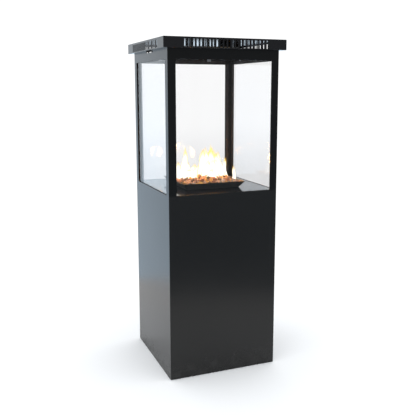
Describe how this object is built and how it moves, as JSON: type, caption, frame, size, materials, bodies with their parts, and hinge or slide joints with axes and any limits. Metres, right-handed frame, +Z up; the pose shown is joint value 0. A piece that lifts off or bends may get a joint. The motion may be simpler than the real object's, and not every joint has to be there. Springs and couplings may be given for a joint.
{
  "type": "outdoor gas flame heater",
  "caption": "Free-standing square gas flame heater: steel cupboard base with rear door, glazed flame chamber with stone-covered burner, and a slotted lift-off cap.",
  "frame": {"origin": "centre of the footprint on the floor, under the four levelling feet", "axes": "+Z up, -Y towards the front, -X towards the front's left side; the door and the controls are on +Y"},
  "size_m": [0.525, 0.525, 1.4],
  "materials": {
    "panel_black": "satin black powder coat, fine orange peel",
    "cap_gloss_black": "gloss black enamel",
    "deck_gloss_black": "mirror gloss black enamel",
    "galvanised_steel": "zinc-coated sheet with a dull spangle",
    "clear_glass": "clear tempered glass",
    "black_seal": "matt black silicone strip",
    "bright_zinc": "bright zinc plate",
    "stainless_steel": "brushed stainless, heat-tinted",
    "burner_enamel": "heat-proof satin black",
    "ember_stone": "broken stone chips, warm grey",
    "brass": "plain brass, lightly dulled",
    "copper": "soft copper tube",
    "white_ceramic": "unglazed white",
    "hose_rubber": "orange gas hose, semi-matt",
    "cast_aluminium": "die-cast, fine grain",
    "bottle_paint": "grey enamel, slightly worn",
    "handwheel_plastic": "moulded, matt",
    "black_plastic": "moulded, fine texture",
    "red_plastic": "moulded, glossy",
    "hinge_black": "black powder coat",
    "foot_rubber": "hard black rubber"
  },
  "bodies": {
    "column": {"front_panel": "panel_black", "left_panel": "panel_black", "right_panel": "panel_black", "rear_frame": "panel_black", "control_panel": "panel_black", "post_front_left": "panel_black", "post_front_right": "panel_black", "post_rear_right": "panel_black", "post_rear_left": "panel_black", "header_front": "panel_black", "header_right": "panel_black", "header_rear": "panel_black", "header_left": "panel_black", "deck_plate": "deck_gloss_black", "base_plate": "galvanised_steel", "corner_angles": "galvanised_steel", "glass_ledges": "galvanised_steel", "glass_front": "clear_glass", "glass_right": "clear_glass", "glass_rear": "clear_glass", "glass_left": "clear_glass", "glass_seals": "black_seal", "glass_clips": "bright_zinc", "clip_nuts": "bright_zinc", "hinge_pins": "bright_zinc", "pilot_bracket": "bright_zinc", "mixer_tube": "stainless_steel", "burner_ring": "stainless_steel", "thermocouple": "stainless_steel", "burner_tray": "burner_enamel", "ember_grate": "burner_enamel", "ember_bed": "ember_stone", "injector": "brass", "gas_valve": "brass", "pilot_burner": "brass", "bottle_valve": "brass", "gas_pipe": "copper", "pilot_leads": "copper", "igniter_electrode": "white_ceramic", "gas_hose": "hose_rubber", "regulator": "cast_aluminium", "gas_bottle": "bottle_paint", "igniter_barrel": "black_plastic", "hinge_frame_leaves": "hinge_black"},
    "door": {"door_panel": "panel_black", "hinge_door_leaves": "hinge_black"},
    "latch": {"door_latch": "panel_black"},
    "handwheel": {"bottle_handwheel": "handwheel_plastic"},
    "valve_push": {"valve_pushrod": "bright_zinc"},
    "knob": {"control_knob": "black_plastic"},
    "igniter": {"igniter_button": "red_plastic"},
    "foot_fl": {"foot_front_left": "foot_rubber"},
    "foot_fr": {"foot_front_right": "foot_rubber"},
    "foot_rr": {"foot_rear_right": "foot_rubber"},
    "foot_rl": {"foot_rear_left": "foot_rubber"},
    "cap": {"cap_top": "cap_gloss_black", "cap_grilles": "cap_gloss_black", "cap_floor": "cap_gloss_black", "heat_deflector": "stainless_steel", "deflector_spacers": "bright_zinc"}
  },
  "joints": [
    {"name": "door_hinge", "type": "hinge", "parent": "column", "child": "door", "pos_m": [0.206, 0.245, 0.347], "axis": [0, 0, -1], "range_deg": [0, 120]},
    {"name": "latch_turn", "type": "hinge", "parent": "door", "child": "latch", "pos_m": [-0.18, 0.24, 0.347], "axis": [0, 1, 0], "range_deg": [0, 90]},
    {"name": "handwheel_turn", "type": "hinge", "parent": "column", "child": "handwheel", "pos_m": [0, 0, 0.53], "axis": [0, 0, 1], "range_deg": [0, 540]},
    {"name": "knob_push", "type": "slide", "parent": "column", "child": "valve_push", "axis": [0, -1, 0], "range_m": [0, 0.004], "stiffness_N_per_m": 800, "springref_m": -0.001},
    {"name": "knob_turn", "type": "hinge", "parent": "valve_push", "child": "knob", "pos_m": [0, 0.25, 0.704], "axis": [0, 1, 0], "range_deg": [0, 210]},
    {"name": "igniter_push", "type": "slide", "parent": "column", "child": "igniter", "axis": [0, -1, 0], "range_m": [0, 0.006], "stiffness_N_per_m": 1500, "springref_m": -0.001},
    {"name": "foot_fl_level", "type": "slide", "parent": "column", "child": "foot_fl", "axis": [0, 0, -1], "range_m": [0, 0.012]},
    {"name": "foot_fr_level", "type": "slide", "parent": "column", "child": "foot_fr", "axis": [0, 0, -1], "range_m": [0, 0.012]},
    {"name": "foot_rr_level", "type": "slide", "parent": "column", "child": "foot_rr", "axis": [0, 0, -1], "range_m": [0, 0.012]},
    {"name": "foot_rl_level", "type": "slide", "parent": "column", "child": "foot_rl", "axis": [0, 0, -1], "range_m": [0, 0.012]},
    {"name": "cap_lift", "type": "slide", "parent": "column", "child": "cap", "axis": [0, 0, 1], "range_m": [0, 0.15]}
  ]
}
